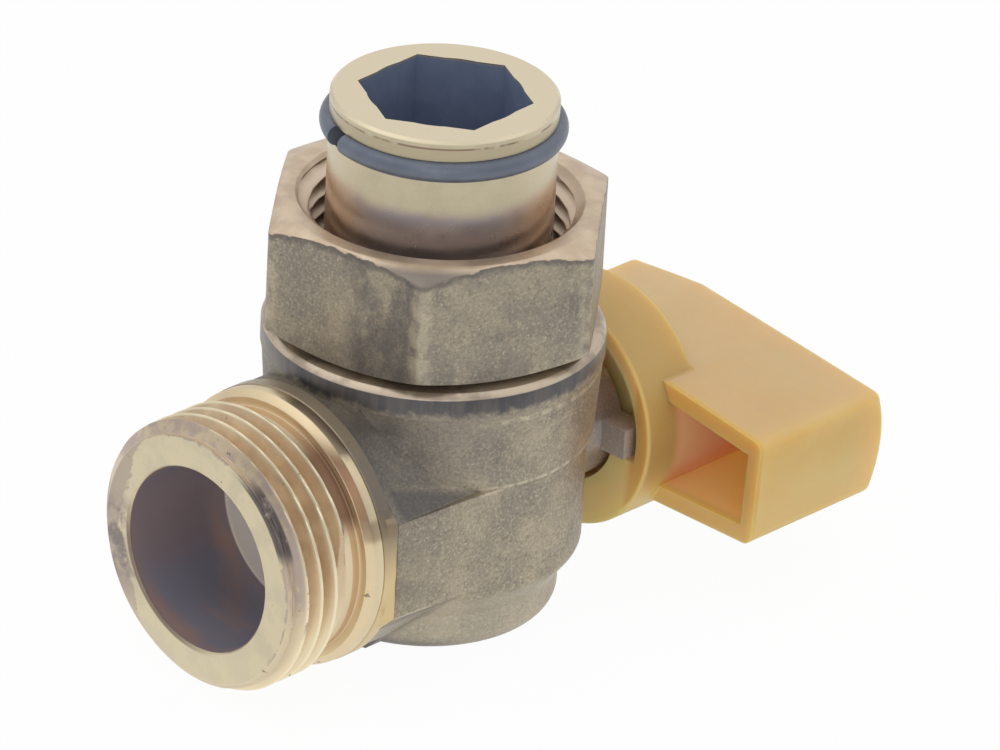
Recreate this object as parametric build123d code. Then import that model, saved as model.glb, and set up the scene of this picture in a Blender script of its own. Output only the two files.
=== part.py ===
from build123d import *
import math
import os

# Angle ball valve for gas, in millimetres.
# The spigot stands along +Z, the threaded branch points along -X and the stem along +X.
# The branch and the stem share one axis. Shapes are drawn about the point where it crosses
# the spigot's axis, and are lifted at the end so that the foot stands on z = 0.

# Ball, seats and chamber
ball_d = 20.0                 # outside of the ball
port_d = 11.5                 # elbow port through the ball
seat_film = 0.03              # running gap between the ball and its seats
seat_bore_d = 12.4            # opening through both seats
seat_contact = 0.98           # width of the ball's track on a seat, measured radially
seat_height = 2.9             # height of the upper seat
seat_gap = 0.1                # radial room around the seats
chamber_gap = 0.5             # radial room around the ball
floor_gap = 0.8               # room under the ball

# Body
barrel_wall = 4.35            # wall of the lower barrel around the chamber
foot_wall = 2.32              # wall of the foot around the chamber
base_wall = 2.7               # least floor under the chamber
foot_height = 4.1             # height of the foot
foot_shoulder = 2.9           # height of the slope from the foot to the barrel
foot_edge = 2.3               # rounding of the foot's lower edge
foot_root = 1.2               # rounding where the foot meets the slope
shoulder_round = 1.4          # rounding where the barrel turns under
collar_wall = 3.97            # wall of the collar around the spigot's thread
collar_band = 2.58            # height of the turned band at the top of the barrel
collar_lip = 0.55             # chamfer on the collar's top edge
band_step = 0.12              # step from the turned band to the forged skin
ledge_rise = 0.6              # height of the slope under the forged ledge
ledge_step = 0.55             # how far the upper barrel stands over the lower one

# Branch, outside thread G 3/4
thread_major_d = 26.44        # crest of the branch thread and root of the nut thread
thread_minor_d = 24.12        # root of the branch thread and crest of the nut thread
branch_reach = 29.67          # branch face to the spigot's axis
thread_length = 8.37          # branch face to the relief groove
thread_chamfer = 1.05         # chamfer at the branch face
relief_width = 0.9            # groove behind the thread
relief_depth = 0.12           # groove floor below the thread root
shoulder_step = 0.2           # turned shoulder above the thread crest
shoulder_width = 1.75         # turned shoulder behind the groove
shoulder_edge = 0.35          # chamfer of the turned shoulder
rim_step = 0.28               # rim of the neck above the thread crest
rim_width = 0.85              # rim between the shoulder and the flats
neck_step = 0.28              # neck flats above the thread crest
neck_flat = 9.9               # width of the upright and level neck flats
inlet_bore_d = 18.0           # counterbore in the branch
inlet_bore_depth = 12.27      # depth of the counterbore
throat_d = 12.0               # passage from the counterbore to the chamber
stand_clear = 0.05            # branch above the surface the foot stands on

# Spigot
spigot_d = 21.26              # outside of the tube
spigot_rise = 23.07           # tube above the collar
spigot_edge = 0.27            # chamfer at the top edge
spigot_bore_d = 14.6          # passage through the tube
key_flats = 14.3              # hexagon socket across its flats
key_depth = 16.0              # depth of the hexagon socket
key_turn = 3.7                # turn of the socket about the tube, in degrees
skirt_wall = 1.6              # wall of the screwed end around the upper seat
engagement = 8.45             # length of the screwed end
thread_gap = 0.03             # radial room in a screwed fit
seal_cord_d = 1.8             # cord of the ring seal on the screwed end
seal_drop = 2.2               # centre of that seal below the collar's top
groove_room = 0.4             # room beside a ring seal in its groove
seal_gap = 0.03               # room between a ring seal and the walls

# Snap ring
ring_wire_d = 2.0             # wire of the ring
ring_sink = 0.13              # centre of the wire inside the tube's surface
ring_drop = 3.01              # centre of the wire below the spigot's top
ring_gap = 0.05               # room around the wire in its groove
ring_split = 2.0              # width of the ring's gap
ring_split_turn = 162.0       # direction of the ring's gap, in degrees from +X

# Union nut, inside thread G 3/4
nut_flats = 30.0              # across the flats
nut_height = 12.55            # overall height
nut_seat_gap = 0.05           # nut above the collar
nut_run = 0.09                # radial running gap on the spigot
nut_lip = 3.0                 # height of the bottom lip
nut_relief = 2.0              # height of the groove above the lip
nut_relief_depth = 0.1        # groove floor outside the thread root
nut_mouth_step = 0.23         # mouth chamfer outside the thread root
nut_top_edge = 0.15           # top face inside the flats
nut_top_angle = 22.0          # slope of the top chamfer, in degrees
nut_foot_step = 1.3           # bottom face inside the flats
nut_foot_angle = 23.3         # slope of the bottom chamfer, in degrees
nut_turn = 40.0               # direction of one corner, in degrees from +X

# Stem
stem_d = 9.0                  # shank
stem_run = 0.04               # radial running gap of the shank
flange_step = 0.9             # flange outside the shank
flange_thick = 1.95           # flange along the axis
flange_gap = 0.1              # flange to the ball
flange_room = 0.2             # radial room around the flange
washer_thick = 0.7            # thrust washer
washer_room = 0.1             # radial room in the thrust washer
washer_run = 0.03             # thrust washer to the body
boss_wall = 2.25              # wall of the boss around the shank
boss_edge = 0.4               # chamfer at the boss end
stem_cord_d = 1.45            # cord of the ring seals on the shank
seal_land = 0.85              # metal beside each ring seal
tang_width = 8.0              # blade in the ball's slot, long way
tang_thick = 4.0              # blade, thin way
tang_depth = 2.9              # blade's reach into the ball
tang_gap = 0.05               # room around the blade
stem_flats = 6.2              # across the two flats under the handle
socket_reach = 10.5           # flats along the axis

# Handle
rest_turn = 3.19              # lever below level as it stands, in degrees from the closed stop
rim_gap = 1.6                 # hub rim to the collar
hub_d = 23.72                 # outside of the hub
hub_depth = 7.1               # hub along the axis
hub_edge = 0.4                # rounding of the hub's edges
recess_depth = 2.8            # recess in the hub, over the boss
recess_room = 0.55            # radial room around the boss
hub_gap = 0.9                 # boss end to the recess floor
lug_reach = 2.9               # stop lug outside the boss
lug_width = 3.0               # stop lug across
lug_depth = 3.0               # stop lug along the axis
lug_room = 0.5                # radial room around the stop lug
stop_gap = 0.1                # room at each stop
lever_setback = 3.0           # lever's open side behind the hub rim
lever_length = 23.04          # stem axis to the lever's tip
lever_root = 14.54            # lever's height at the stem axis
lever_tip = 10.92             # lever's height at the tip
tail_length = 10.2            # stem axis to the short end
tail_height = 10.2            # height of the short end
crown_reach = 20.8            # hub rim to the top of the crowned outer face
crown_r = 13.0                # radius of the crowned outer face
lever_edge = 0.8              # rounding around the crowned face
lever_corner = 1.0            # rounding of the lever's corners
pocket_wall = 1.75            # wall above and below the pocket
pocket_tip_wall = 1.45        # wall at the pocket's tip
pocket_depth = 15.0           # depth of the pocket
socket_gap = 0.03             # room around the stem's flats
end_gap = 0.2                 # stem end to the web
web_thick = 2.5               # web under the screw head

# Screw
screw_d = 4.0                 # thread of the screw
screw_bite = 8.0              # screw inside the stem
drill_over = 1.5              # tapped hole beyond the screw
screw_room = 0.2              # radial room in the web
head_d = 7.6                  # head of the screw
head_height = 2.6             # height of the head
drive_flats = 2.5             # hexagon socket in the head
drive_depth = 1.4             # depth of that socket
plate_d = 9.0                 # washer under the head
plate_thick = 0.8             # thickness of that washer
plate_room = 0.35             # radial room around that washer

cut_over = 1.0                # how far a cutting shape passes the face it opens

# Places that follow from the sizes
ball_r = ball_d / 2
port_r = port_d / 2
chamber_r = ball_r + chamber_gap
seat_r = chamber_r - seat_gap
seat_bore_r = seat_bore_d / 2
step_z = math.sqrt((ball_r + seat_film) ** 2 - (seat_bore_r + seat_contact) ** 2)
floor_z = -(ball_r + floor_gap)
screwed_r = chamber_r + skirt_wall
socketed_r = screwed_r + thread_gap
collar_r = socketed_r + collar_wall
collar_top = step_z + engagement
barrel_r = chamber_r + barrel_wall
foot_r = chamber_r + foot_wall
thread_r = thread_major_d / 2
minor_r = thread_minor_d / 2
shoulder_r = thread_r + shoulder_step
rim_r = thread_r + rim_step
neck_half = thread_r + neck_step
axis_height = max(rim_r + stand_clear, neck_half + stand_clear, base_wall - floor_z)
relief_x = thread_length - branch_reach
shoulder_x = relief_x + relief_width
rim_x = shoulder_x + shoulder_width
neck_x = rim_x + rim_width
inlet_bore_x = inlet_bore_depth - branch_reach
spigot_r = spigot_d / 2
spigot_bore_r = spigot_bore_d / 2
spigot_top = collar_top + spigot_rise
seal_cord_r = seal_cord_d / 2
seal_r = socketed_r - seal_gap - seal_cord_r
ring_z = spigot_top - ring_drop
ring_r = spigot_r - ring_sink
wire_r = ring_wire_d / 2
nut_z = collar_top + nut_seat_gap
nut_top = nut_z + nut_height
nut_corner_r = nut_flats / 2 / math.cos(math.pi / 6)
stem_r = stem_d / 2
hole_r = stem_r + stem_run
flange_r = stem_r + flange_step
flange_x = ball_r + flange_gap
washer_x = flange_x + flange_thick
flange_seat_x = washer_x + washer_thick + washer_run
boss_r = hole_r + boss_wall
hub_r = hub_d / 2
hub_x = collar_r + rim_gap
recess_x = hub_x + recess_depth
boss_x = recess_x - hub_gap
stem_cord_r = stem_cord_d / 2
stem_seal_r = hole_r - seal_gap - stem_cord_r
groove_w = stem_cord_d + groove_room
outer_seal_x = boss_x - seal_land - groove_w / 2
inner_seal_x = outer_seal_x - groove_w - seal_land
lug_r = boss_r + lug_reach
stop_half = lug_width / 2 + stop_gap
lever_x = hub_x + lever_setback
crown_x = hub_x + crown_reach
stem_x = recess_x + socket_reach
screw_r = screw_d / 2
web_x = stem_x + end_gap
plate_r = plate_d / 2
plate_x = web_x + web_thick
head_x = plate_x + plate_thick


def round_x(radius, start, end):
    """Round bar along X."""
    return Pos((start + end) / 2, 0, 0) * Rot(0, 90, 0) * Cylinder(radius, end - start)


def round_z(radius, low, high):
    """Round bar along Z."""
    return Pos(0, 0, (low + high) / 2) * Cylinder(radius, high - low)


def block(x, y, z):
    """Box between a low and a high limit on each axis."""
    middle = [(low + high) / 2 for low, high in (x, y, z)]
    size = [high - low for low, high in (x, y, z)]
    return Pos(*middle) * Box(*size)


def turned_z(points):
    """Piece turned about Z from (radius, height) points."""
    return revolve(Plane.XZ * make_face(Polyline(*points, close=True)), Axis.Z)


def turned_x(points):
    """Piece turned about X from (place along X, radius) points."""
    return revolve(make_face(Polyline(*points, close=True)), Axis.X)


def hexagon(flats, turn=0.0):
    """Flat hexagon with one corner at the given turn from the first axis."""
    return RegularPolygon(flats / 2 / math.cos(math.pi / 6), 6, rotation=turn)


def barrel():
    """Upright forged barrel: foot, lower barrel, ledge, upper barrel and turned collar."""
    foot_top = foot_height - axis_height
    under_top = foot_top + foot_shoulder
    ledge_z = neck_flat / 2
    band_z = collar_top - collar_band
    corners = [
        (0, -axis_height, 0),
        (foot_r, -axis_height, foot_edge),
        (foot_r, foot_top, foot_root),
        (barrel_r, under_top, shoulder_round),
        (barrel_r, ledge_z - ledge_rise, 0),
        (barrel_r + ledge_step, ledge_z, 0),
        (collar_r - band_step, band_z, 0),
        (collar_r, band_z + band_step, 0),
        (collar_r, collar_top - collar_lip, 0),
        (collar_r - collar_lip, collar_top, 0),
        (0, collar_top, 0),
    ]
    points = [(r, z) for r, z, edge in corners]
    outline = FilletPolyline(*points, radius=[edge for r, z, edge in corners], close=True)
    return revolve(Plane.XZ * make_face(outline), Axis.Z)


def neck():
    """Eight-sided neck, with upright sides that run into the lower barrel without a crease."""
    flat = neck_flat / 2
    eight = [(neck_half, flat), (flat, neck_half), (-flat, neck_half), (-neck_half, flat),
             (-neck_half, -flat), (-flat, -neck_half), (flat, -neck_half), (neck_half, -flat)]
    prism = Pos(neck_x, 0, 0) * extrude(Plane.YZ * make_face(Polyline(*eight, close=True)), -neck_x)
    distance = math.hypot(neck_x, neck_half)
    touch = math.atan2(neck_half, neck_x) - math.acos(barrel_r / distance)
    tangent = (barrel_r * math.cos(touch), barrel_r * math.sin(touch))
    plan = [(neck_x, neck_half), tangent, (tangent[0], -tangent[1]), (neck_x, -neck_half)]
    slab = extrude(make_face(Polyline(*plan, close=True)), neck_flat)
    return prism + Pos(0, 0, -flat) * slab


def branch():
    """Turned branch: thread crest, relief groove, shoulder and rim."""
    relief_r = minor_r - relief_depth
    return turned_x([
        (-branch_reach, 0),
        (-branch_reach, thread_r - thread_chamfer),
        (thread_chamfer - branch_reach, thread_r),
        (relief_x, thread_r),
        (relief_x, relief_r),
        (shoulder_x, relief_r),
        (shoulder_x, shoulder_r - shoulder_edge),
        (shoulder_x + shoulder_edge, shoulder_r),
        (rim_x, shoulder_r),
        (rim_x, rim_r),
        (neck_x, rim_r),
        (neck_x, relief_r),
        (0, relief_r),
        (0, 0),
    ])


def boss():
    """Stem boss with its stop lug."""
    bar = turned_x([(0, 0), (0, boss_r), (boss_x - boss_edge, boss_r), (boss_x, boss_r - boss_edge),
                    (boss_x, 0)])
    lug = block((boss_x - lug_depth, boss_x), (-lug_r, 0), (-lug_width / 2, lug_width / 2))
    return bar + lug


def valve_body():
    """Forged body, bored for the ball, the spigot, the stem and the gas."""
    shape = barrel() + neck() + branch() + boss()
    shape -= round_z(chamber_r, floor_z, collar_top + cut_over)
    shape -= round_z(socketed_r, step_z, collar_top + cut_over)
    shape -= round_x(inlet_bore_d / 2, -branch_reach - cut_over, inlet_bore_x)
    shape -= round_x(throat_d / 2, inlet_bore_x - cut_over, 0)
    shape -= round_x(flange_r + flange_room, 0, flange_seat_x)
    return shape - round_x(hole_r, 0, boss_x + cut_over)


def union_spigot():
    """Turned tube with a screwed end, a hexagon socket and a groove for the snap ring."""
    groove_low = collar_top - seal_drop - seal_cord_r - groove_room / 2
    groove_high = groove_low + seal_cord_d + groove_room
    groove_r = seal_r - seal_cord_r - seal_gap
    shape = turned_z([
        (chamber_r, step_z),
        (screwed_r, step_z),
        (screwed_r, groove_low),
        (groove_r, groove_low),
        (groove_r, groove_high),
        (screwed_r, groove_high),
        (screwed_r, collar_top),
        (spigot_r, collar_top),
        (spigot_r, spigot_top - spigot_edge),
        (spigot_r - spigot_edge, spigot_top),
        (spigot_bore_r, spigot_top),
        (spigot_bore_r, step_z + seat_height),
        (chamber_r, step_z + seat_height),
    ])
    socket = extrude(hexagon(key_flats, key_turn), key_depth + cut_over)
    shape -= Pos(0, 0, spigot_top - key_depth) * socket
    return shape - Pos(0, 0, ring_z) * Torus(ring_r, wire_r + ring_gap)


def spigot_seal():
    """Rubber ring in the groove of the spigot's screwed end."""
    return Pos(0, 0, collar_top - seal_drop) * Torus(seal_r, seal_cord_r)


def snap_ring():
    """Split wire ring that keeps the nut on the spigot."""
    reach = ring_r + wire_r + cut_over
    gap = block((0, reach), (-ring_split / 2, ring_split / 2), (-ring_wire_d, ring_wire_d))
    return Pos(0, 0, ring_z) * (Torus(ring_r, wire_r) - Rot(0, 0, ring_split_turn) * gap)


def union_nut():
    """Hexagon nut with a threaded bore and a bottom lip that runs on the spigot."""
    out_r = nut_corner_r + cut_over
    foot = nut_flats / 2 - nut_foot_step
    crown = nut_flats / 2 - nut_top_edge
    foot_rise = (out_r - foot) * math.tan(math.radians(nut_foot_angle))
    crown_drop = (out_r - crown) * math.tan(math.radians(nut_top_angle))
    envelope = turned_z([(0, nut_z), (foot, nut_z), (out_r, nut_z + foot_rise),
                         (out_r, nut_top - crown_drop), (crown, nut_top), (0, nut_top)])
    lip_r = spigot_r + nut_run
    lip_top = nut_z + nut_lip
    relief_top = lip_top + nut_relief
    relief_r = thread_r + nut_relief_depth
    mouth_r = thread_r + nut_mouth_step
    bore = turned_z([
        (0, nut_z - cut_over),
        (lip_r, nut_z - cut_over),
        (lip_r, lip_top),
        (relief_r, lip_top),
        (relief_r, relief_top),
        (minor_r, relief_top),
        (minor_r, nut_top - mouth_r + minor_r),
        (mouth_r, nut_top),
        (mouth_r, nut_top + cut_over),
        (0, nut_top + cut_over),
    ])
    prism = Pos(0, 0, nut_z) * extrude(hexagon(nut_flats, nut_turn), nut_height)
    return (prism & envelope) - bore


def ball():
    """Ball with an elbow port, towards the branch and to one side, and a slot for the stem."""
    slot_x = ball_r - tang_depth - tang_gap
    slot_half = tang_thick / 2 + tang_gap
    shape = Sphere(ball_r) - Sphere(port_r) - round_x(port_r, -ball_d, 0)
    shape -= Rot(-90, 0, 0) * round_z(port_r, 0, ball_d)
    return shape - block((slot_x, ball_d), (-slot_half, slot_half), (-ball_d, ball_d))


def seat(height):
    """Sealing ring that lies on the top of the ball."""
    ring = round_z(seat_r, step_z, step_z + height)
    ring -= round_z(seat_bore_r, step_z - cut_over, step_z + height + cut_over)
    return ring - Sphere(ball_r + seat_film)


def upper_seat():
    """Seat in the spigot's screwed end."""
    return seat(seat_height)


def lower_seat():
    """Seat on the chamber's floor, which carries the ball."""
    return Rot(180, 0, 0) * seat(-floor_z - step_z)


def stem():
    """Stem with a blade for the ball, a flange, two seal grooves and flats for the handle."""
    floor_r = stem_seal_r - stem_cord_r - seal_gap
    points = [(flange_x, 0), (flange_x, flange_r), (washer_x, flange_r), (washer_x, stem_r)]
    for centre in (inner_seal_x, outer_seal_x):
        low = centre - groove_w / 2
        high = centre + groove_w / 2
        points += [(low, stem_r), (low, floor_r), (high, floor_r), (high, stem_r)]
    shape = turned_x(points + [(stem_x, stem_r), (stem_x, 0)])
    shape += block((ball_r - tang_depth, flange_x + flange_thick / 2),
                   (-tang_thick / 2, tang_thick / 2), (-tang_width / 2, tang_width / 2))
    for low, high in ((stem_flats / 2, stem_d), (-stem_d, -stem_flats / 2)):
        shape -= block((recess_x, stem_x + cut_over), (-stem_d, stem_d), (low, high))
    return shape - round_x(screw_r + thread_gap, stem_x - screw_bite - drill_over, stem_x + cut_over)


def thrust_washer():
    """Slip washer behind the stem's flange."""
    disc = round_x(flange_r, washer_x, washer_x + washer_thick)
    return disc - round_x(stem_r + washer_room, washer_x - cut_over, flange_seat_x + cut_over)


def stem_seal(place):
    """Rubber ring on the stem."""
    return Pos(place, 0, 0) * Rot(0, 90, 0) * Torus(stem_seal_r, stem_cord_r)


def lever():
    """Lever with a crowned outer face, longer towards -Y, before its pocket is cut."""
    corners = [(-lever_length, -lever_tip / 2), (0, -lever_root / 2), (tail_length, -tail_height / 2),
               (tail_length, tail_height / 2), (0, lever_root / 2), (-lever_length, lever_tip / 2)]
    edge = [lever_corner, 0, lever_corner, lever_corner, 0, lever_corner]
    outline = FilletPolyline(*corners, radius=edge, close=True)
    bar = Pos(lever_x, 0, 0) * extrude(Plane.YZ * make_face(outline), crown_reach)
    centre_x = crown_x - crown_r
    span = 2 * (lever_length + tail_length)
    crown = Pos(centre_x, 0, 0) * Rot(90, 0, 0) * Cylinder(crown_r, span)
    crown += block((lever_x - cut_over, centre_x), (-span / 2, span / 2), (-crown_r, crown_r))
    bar = bar & crown
    return fillet(bar.faces().sort_by(Axis.X)[-1].edges(), lever_edge)


def lever_pocket():
    """Deep pocket in the lever, open towards the body, up to the round wall of the hub."""
    tip_y = pocket_tip_wall - lever_length
    slope = (lever_root - lever_tip) / 2 / lever_length
    root_half = lever_root / 2 - pocket_wall
    tip_half = root_half + slope * tip_y
    corners = [(tip_y, -tip_half), (0, -root_half), (0, root_half), (tip_y, tip_half)]
    face = Plane.YZ * make_face(Polyline(*corners, close=True))
    pocket = Pos(lever_x - cut_over, 0, 0) * extrude(face, pocket_depth + cut_over)
    return pocket - round_x(hub_r, hub_x, crown_x)


def handle():
    """Moulded lever with a round hub, a stop recess, a stem socket and a screw seat."""
    hub = round_x(hub_r, hub_x, hub_x + hub_depth)
    hub = fillet(hub.edges().filter_by(GeomType.CIRCLE), hub_edge)
    shape = hub + lever() - lever_pocket()
    wide_r = lug_r + lug_room
    recess = round_x(wide_r, hub_x - cut_over, recess_x)
    recess &= block((hub_x - cut_over, recess_x), (-wide_r, stop_half), (-stop_half, wide_r))
    shape -= recess + round_x(boss_r + recess_room, hub_x - cut_over, recess_x)
    socket = round_x(stem_r + socket_gap, recess_x - cut_over, web_x)
    flat_half = stem_flats / 2 + socket_gap
    socket &= block((recess_x - cut_over, web_x), (-stem_d, stem_d), (-flat_half, flat_half))
    shape -= socket + round_x(screw_r + screw_room, web_x - cut_over, plate_x + cut_over)
    return shape - round_x(plate_r + plate_room, plate_x, crown_x + cut_over)


def handle_screw():
    """Screw that holds the handle on the stem."""
    shape = turned_x([(stem_x - screw_bite, 0), (stem_x - screw_bite, screw_r), (head_x, screw_r),
                      (head_x, head_d / 2), (head_x + head_height, head_d / 2),
                      (head_x + head_height, 0)])
    drive = extrude(Plane.YZ * hexagon(drive_flats), drive_depth + cut_over)
    return shape - Pos(head_x + head_height - drive_depth, 0, 0) * drive


def screw_washer():
    """Plain washer under the screw head."""
    disc = round_x(plate_r, plate_x, head_x)
    return disc - round_x(screw_r + screw_room, plate_x - cut_over, head_x + cut_over)


fixed = {
    "valve_body": valve_body(),
    "union_spigot": union_spigot(),
    "spigot_seal": spigot_seal(),
    "snap_ring": snap_ring(),
    "upper_seat": upper_seat(),
    "lower_seat": lower_seat(),
    "union_nut": union_nut(),
}
turning = {
    "ball": ball(),
    "stem": stem(),
    "thrust_washer": thrust_washer(),
    "stem_seal_inner": stem_seal(inner_seal_x),
    "stem_seal_outer": stem_seal(outer_seal_x),
    "handle": handle(),
    "handle_screw": handle_screw(),
    "screw_washer": screw_washer(),
}

os.makedirs("parts", exist_ok=True)
lift = Pos(0, 0, axis_height)
for name, shape in fixed.items():
    export_step(lift * shape, f"parts/{name}.step")
for name, shape in turning.items():
    export_step(lift * Rot(rest_turn, 0, 0) * shape, f"parts/{name}.step")
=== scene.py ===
import math

import bmesh
import bpy
from mathutils import Matrix, Vector


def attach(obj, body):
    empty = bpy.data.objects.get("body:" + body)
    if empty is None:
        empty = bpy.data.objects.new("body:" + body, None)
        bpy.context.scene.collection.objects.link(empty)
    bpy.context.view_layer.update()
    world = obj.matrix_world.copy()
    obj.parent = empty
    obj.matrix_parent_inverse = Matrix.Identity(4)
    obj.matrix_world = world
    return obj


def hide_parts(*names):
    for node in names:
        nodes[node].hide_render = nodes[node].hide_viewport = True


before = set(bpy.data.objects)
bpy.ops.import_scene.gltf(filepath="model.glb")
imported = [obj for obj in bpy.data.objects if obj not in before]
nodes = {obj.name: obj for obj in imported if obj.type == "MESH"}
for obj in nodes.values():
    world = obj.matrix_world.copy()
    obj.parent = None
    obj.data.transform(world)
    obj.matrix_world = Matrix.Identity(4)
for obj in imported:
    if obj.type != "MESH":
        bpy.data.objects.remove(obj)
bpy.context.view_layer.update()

MM = 0.001                    # sizes below are in millimetres
AXIS = 13.55                  # height of the branch and stem axis
OUT = 40.0                    # past the forging on every side
OVER = 5.0                    # how far a cutting bar passes what it cuts
DIAGONAL = math.sqrt(0.5)     # share of each side along a slant of 45 degrees

# Branch: places along X, and radii about its axis
THROAT_R = 6.0                # passage behind the bore
BORE_R = 9.0
BORE_X = -17.40               # end of the bore
FACE_X = -29.67
CHAMFER_X = 1.05              # chamfer at the face, along the axis
CHAMFER_R = 1.25              # and across it
RELIEF_X = -22.40             # groove behind the thread
RELIEF_R = 11.94
SHOULDER_X = -20.40           # turned shoulder behind the groove
SHOULDER_R = 13.42
CONE = 0.6                    # cone at the front of the shoulder
RIM_X = -18.65                # rim between the shoulder and the neck
RIM_R = 13.50
FLARE = 0.7                   # stretch over which the rim widens to the neck
NECK_X = -17.20               # start of the forged neck
PLUG_X = -16.80               # end of the stub inside the neck
PLUG_R = 11.90

# Thread form shared by the branch and the nut
THREAD_R = 13.22              # crest of the branch thread
PITCH = 1.814
DEPTH = 1.16
CREST = 0.07                  # half the width of a crest
ROOT = 0.12                   # half the width of a root
FLANK = PITCH / 2 - CREST - ROOT
FLANK_CURVE = 0.15            # share of a soft step in the flank's form
ROW = 0.06                    # spacing of the mesh rows along a thread
FIRST_CREST = -28.1           # branch crest nearest the face, on the -Y side
THREAD_TURNS = 2.95           # turns from there to the end of the branch thread
RUN_OUT = 0.04                # half the stretch over which it ends, in turns
NO_END = 100.0                # turns of a thread that runs right through

# Collar, nut and spigot: places along Z, and radii about it
BAND_Z = 26.423               # lower edge of the turned band
COLLAR_TOP = 29.003
COLLAR_R = 16.10
SOCKET_R = 12.13
NUT_Z = 29.053
NUT_TOP = 41.603
NUT_HALF = 15.0               # half the width across the flats
NUT_TURN = 40.0               # direction of a corner, in degrees from +X
NUT_ROWS = 12                 # mesh rows up a flat
NUT_FOOT_R = 13.7             # flat foot, and the slope around it in degrees
NUT_FOOT_SLOPE = 23.3
NUT_CROWN_R = 14.85           # flat top, and the chamfer around it in degrees
NUT_CROWN_SLOPE = 22.0
NUT_CORNER = 0.12             # how far the corners are cut back
NUT_MOUTH_R = 13.45           # bore at the top
NUT_BORE_R = THREAD_R - DEPTH
NUT_THREAD_Z = 5.05           # lowest thread row above the foot
NUT_RELIEF_R = 13.32
NUT_RELIEF_Z = 4.9            # top of the relief above the foot
NUT_LIP_Z = 3.0               # thickness of the lip
NUT_LIP_GAP = 0.09            # room between the lip and the spigot
SPIGOT_TOP = 52.073
SPIGOT_R = 10.63
KEY_R = 8.5                   # just outside the corners of the key socket
BROWN_Z = 43.8                # where the brown on the spigot is full

# Lever: places along X, and across it in the lever's own frame
LEVER_DROOP = 3.19            # lever below level, in degrees
LEVER_X = 20.7                # front of the lever
LEVER_TIP = -23.04
LEVER_START = -9.0            # where the lever's own tones begin, within the hub
POCKET_TIP = -21.59
POCKET_BACK = 35.7
POCKET_HALF = 5.52            # half the pocket's height at the stem axis
POCKET_SLOPE = 0.07856        # fall of that per millimetre towards the tip
HUB_R = 11.86
HUB_FRONT = 17.7
HUB_BACK = 24.8

# Forging: heights from the branch axis
LEDGE = 4.95                  # worn ledge with a painted highlight, and the neck's edges
LEDGE_R = 15.40
NECK_HALF = 13.50             # neck's axis to its side flats
SLANT = 13.046                # neck's axis to its slanted flats
NECK_R = 13.38                # rounding of the neck's top and bottom
NECK_SIDE = 9.4               # half the width that is rounded
NECK_END = -8.0               # where the rounding stops along X
NECK_HIGH = 5.0               # rounded above this height
NECK_LOW = -9.5               # and below this one
FOOT_R = 12.82
SOFT_EDGE = 0.22              # rounding of the forged edges
LEVER_EDGE = 0.18             # rounding of the lever's edges

# Camera and floor
CAMERA_AROUND = -46.51        # angles in degrees
CAMERA_UP = 27.45
CAMERA_ROLL = 3.157
CAMERA_AWAY = 820.82          # distance, side shift and lift, in millimetres
CAMERA_SIDE = 6.876
CAMERA_LIFT = 8.166
CAMERA_LENS = 315.22          # on a sensor 36 mm wide
FLOOR_HALF = 3.0              # metres
FLOOR_DROP = 2e-5             # floor under the foot, in metres
FLOOR_WHITE = 0.96            # how white the floor shows


def smooth(value, low, high):
    """Soft step from 0 at low to 1 at high."""
    t = min(1.0, max(0.0, (value - low) / (high - low)))
    return t * t * (3 - 2 * t)


def thread_drop(place, turn, first, turns=NO_END):
    """How far a right-hand thread lies below its crest; it runs out after some turns."""
    lead = (place - first) / PITCH - turn / math.tau
    away = abs(lead - round(lead)) * PITCH
    t = min(1.0, max(0.0, (away - CREST) / FLANK))
    gone = smooth(round(lead) + turn / math.tau, turns - RUN_OUT, turns + RUN_OUT)
    return DEPTH * max(gone, (1 - FLANK_CURVE) * t + FLANK_CURVE * smooth(t, 0.0, 1.0))


def finish_mesh(mesh, sharp):
    """Outward faces, smooth but for edges sharper than an angle in degrees."""
    bm = bmesh.new()
    bm.from_mesh(mesh)
    bmesh.ops.recalc_face_normals(bm, faces=bm.faces)
    bm.to_mesh(mesh)
    bm.free()
    mesh.polygons.foreach_set("use_smooth", [True] * len(mesh.polygons))
    mesh.set_sharp_from_angle(angle=math.radians(sharp))


def new_object(name, data):
    """Object in the scene for a mesh, lamp or camera."""
    obj = bpy.data.objects.new(name, data)
    bpy.context.scene.collection.objects.link(obj)
    return obj


def piece(name, mesh, body, node, material, sharp=32.0):
    """A piece of the object that rides on a body and stands for a node."""
    finish_mesh(mesh, sharp)
    mesh.materials.clear()
    mesh.materials.append(material)
    obj = new_object(name, mesh)
    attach(obj, body)
    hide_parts(node)
    return obj


def turned(name, turns, outline, about="Z"):
    """Closed ring mesh: one outline of (radius, place) points per turn angle."""
    verts, faces = [], []
    for turn in turns:
        points = outline(turn)
        c, s = math.cos(turn), math.sin(turn)
        for r, place in points:
            spot = (r * c, r * s, place) if about == "Z" else (place, r * c, AXIS + r * s)
            verts.append([v * MM for v in spot])
    size, count = len(points), len(turns)
    for j in range(count):
        near, far = j * size, (j + 1) % count * size
        for i in range(size):
            k = (i + 1) % size
            faces.append((near + i, far + i, far + k, near + k))
    mesh = bpy.data.meshes.new(name)
    mesh.from_pydata(verts, [], faces)
    return mesh


def steps(low, high, size):
    """Evenly spaced places from low to high, both included."""
    count = max(1, math.ceil((high - low) / size))
    return [low + (high - low) * i / count for i in range(count + 1)]


def even_turns(count):
    """Column angles around a full turn."""
    return [math.tau * i / count for i in range(count)]


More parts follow.
